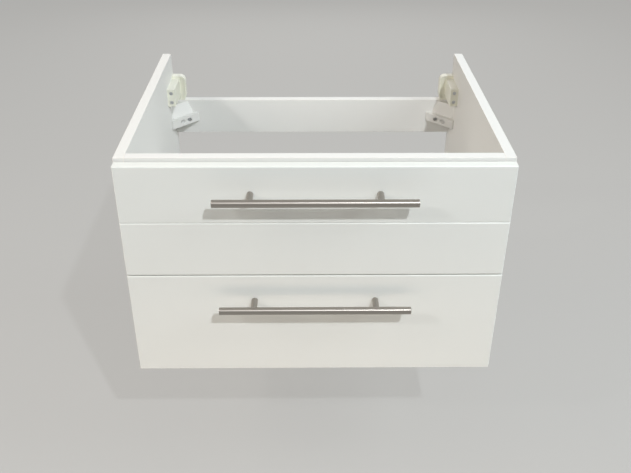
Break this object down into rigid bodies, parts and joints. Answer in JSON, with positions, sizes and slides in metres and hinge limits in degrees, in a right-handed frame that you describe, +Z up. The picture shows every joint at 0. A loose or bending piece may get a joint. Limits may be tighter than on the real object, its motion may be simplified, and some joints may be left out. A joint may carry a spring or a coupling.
{
  "type": "wall-hung vanity base",
  "caption": "Wall-hung bathroom vanity base, open at the top and back, with handled drawers on full-extension runners, a drain-trap recess and adjustable wall hangers.",
  "frame": {"origin": "centre of the bounding box in X and Y, at the cabinet's underside", "axes": "+Z up, the drawer fronts face -Y, the wall side faces +Y, +X to the right seen from the front"},
  "size_m": [0.59, 0.525, 0.386],
  "materials": {
    "lacquered_board": "white satin lacquer on fibreboard, eased edges",
    "white_melamine": "white melamine-faced board with edge strips",
    "drawer_board": "pale melamine-faced board",
    "drawer_bottom_board": "white-faced hardboard",
    "beech": "fluted beech, unfinished",
    "zinc_alloy": "die-cast zinc alloy, dull",
    "zinc_plated_steel": "bright zinc-plated steel",
    "bearing_steel": "polished balls in a steel strip",
    "clear_silicone": "clear soft silicone",
    "cream_nylon": "natural moulded nylon",
    "white_plastic": "white moulded plastic",
    "brushed_stainless": "brushed stainless steel, brushed round the bar"
  },
  "bodies": {
    "cabinet": {"side_panel_left": "white_melamine", "side_panel_right": "white_melamine", "bottom_panel": "white_melamine", "front_rail": "white_melamine", "rear_rail_upper": "white_melamine", "rear_rail_lower": "white_melamine", "panel_dowels": "beech", "cam_housings": "zinc_alloy", "cam_bolts": "zinc_plated_steel", "front_bumpers": "clear_silicone", "corner_brace_left": "white_plastic", "corner_brace_right": "white_plastic", "corner_brace_screws": "zinc_plated_steel", "hanger_body_left": "cream_nylon", "hanger_body_right": "cream_nylon", "upper_runner_cabinet_members": "zinc_plated_steel", "lower_runner_cabinet_members": "zinc_plated_steel", "runner_cabinet_screws": "zinc_plated_steel"},
    "upper_drawer": {"upper_front": "lacquered_board", "upper_box_front": "drawer_board", "upper_box_side_left": "drawer_board", "upper_box_side_right": "drawer_board", "upper_box_back": "drawer_board", "upper_trap_recess": "drawer_board", "upper_box_bottom": "drawer_bottom_board", "upper_box_dowels": "beech", "upper_front_screws": "zinc_plated_steel", "upper_handle_bar": "brushed_stainless", "upper_handle_posts": "brushed_stainless", "upper_handle_screws": "zinc_plated_steel", "upper_runner_drawer_members": "zinc_plated_steel", "upper_runner_drawer_screws": "zinc_plated_steel"},
    "lower_drawer": {"lower_front": "lacquered_board", "lower_box_front": "drawer_board", "lower_box_side_left": "drawer_board", "lower_box_side_right": "drawer_board", "lower_box_back": "drawer_board", "lower_box_bottom": "drawer_bottom_board", "lower_box_dowels": "beech", "lower_front_screws": "zinc_plated_steel", "lower_handle_bar": "brushed_stainless", "lower_handle_posts": "brushed_stainless", "lower_handle_screws": "zinc_plated_steel", "lower_runner_drawer_members": "zinc_plated_steel", "lower_runner_drawer_screws": "zinc_plated_steel"},
    "upper_runner_middles": {"upper_runner_middle_members": "zinc_plated_steel", "upper_runner_ball_strips": "bearing_steel"},
    "lower_runner_middles": {"lower_runner_middle_members": "zinc_plated_steel", "lower_runner_ball_strips": "bearing_steel"},
    "left_carriage": {"hanger_carriage_left": "zinc_alloy"},
    "left_hook": {"hanger_hook_left": "zinc_plated_steel"},
    "left_depth_screw": {"depth_screw_left": "zinc_plated_steel"},
    "left_height_screw": {"height_screw_left": "zinc_plated_steel"},
    "right_carriage": {"hanger_carriage_right": "zinc_alloy"},
    "right_hook": {"hanger_hook_right": "zinc_plated_steel"},
    "right_depth_screw": {"depth_screw_right": "zinc_plated_steel"},
    "right_height_screw": {"height_screw_right": "zinc_plated_steel"}
  },
  "joints": [
    {"name": "upper_drawer_slide", "type": "slide", "parent": "cabinet", "child": "upper_drawer", "axis": [0, -1, 0], "range_m": [0, 0.25]},
    {"name": "lower_drawer_slide", "type": "slide", "parent": "cabinet", "child": "lower_drawer", "axis": [0, -1, 0], "range_m": [0, 0.4]},
    {"name": "upper_middle_slide", "type": "slide", "parent": "cabinet", "child": "upper_runner_middles", "axis": [0, -1, 0], "range_m": [0, 0.125]},
    {"name": "lower_middle_slide", "type": "slide", "parent": "cabinet", "child": "lower_runner_middles", "axis": [0, -1, 0], "range_m": [0, 0.2]},
    {"name": "left_hook_reach", "type": "slide", "parent": "cabinet", "child": "left_carriage", "axis": [0, 1, 0], "range_m": [0, 0.01]},
    {"name": "left_hook_lift", "type": "slide", "parent": "left_carriage", "child": "left_hook", "axis": [0, 0, 1], "range_m": [0, 0.008]},
    {"name": "left_depth_screw_turn", "type": "hinge", "parent": "cabinet", "child": "left_depth_screw", "pos_m": [-0.27175, 0.1815, 0.316], "axis": [0, 1, 0], "range_deg": [-1800, 0]},
    {"name": "left_height_screw_turn", "type": "hinge", "parent": "cabinet", "child": "left_height_screw", "pos_m": [-0.27175, 0.1815, 0.334], "axis": [0, 1, 0], "range_deg": [0, 1440]},
    {"name": "right_hook_reach", "type": "slide", "parent": "cabinet", "child": "right_carriage", "axis": [0, 1, 0], "range_m": [0, 0.01]},
    {"name": "right_hook_lift", "type": "slide", "parent": "right_carriage", "child": "right_hook", "axis": [0, 0, 1], "range_m": [0, 0.008]},
    {"name": "right_depth_screw_turn", "type": "hinge", "parent": "cabinet", "child": "right_depth_screw", "pos_m": [0.27175, 0.1815, 0.316], "axis": [0, 1, 0], "range_deg": [-1800, 0]},
    {"name": "right_height_screw_turn", "type": "hinge", "parent": "cabinet", "child": "right_height_screw", "pos_m": [0.27175, 0.1815, 0.334], "axis": [0, 1, 0], "range_deg": [0, 1440]}
  ],
  "couplings": [
    {"joint": "upper_middle_slide", "follows": "upper_drawer_slide", "ratio": 0.5},
    {"joint": "lower_middle_slide", "follows": "lower_drawer_slide", "ratio": 0.5},
    {"joint": "left_depth_screw_turn", "follows": "left_hook_reach", "rad_per_m": -3141.6},
    {"joint": "left_height_screw_turn", "follows": "left_hook_lift", "rad_per_m": 3141.6},
    {"joint": "right_depth_screw_turn", "follows": "right_hook_reach", "rad_per_m": -3141.6},
    {"joint": "right_height_screw_turn", "follows": "right_hook_lift", "rad_per_m": 3141.6}
  ]
}
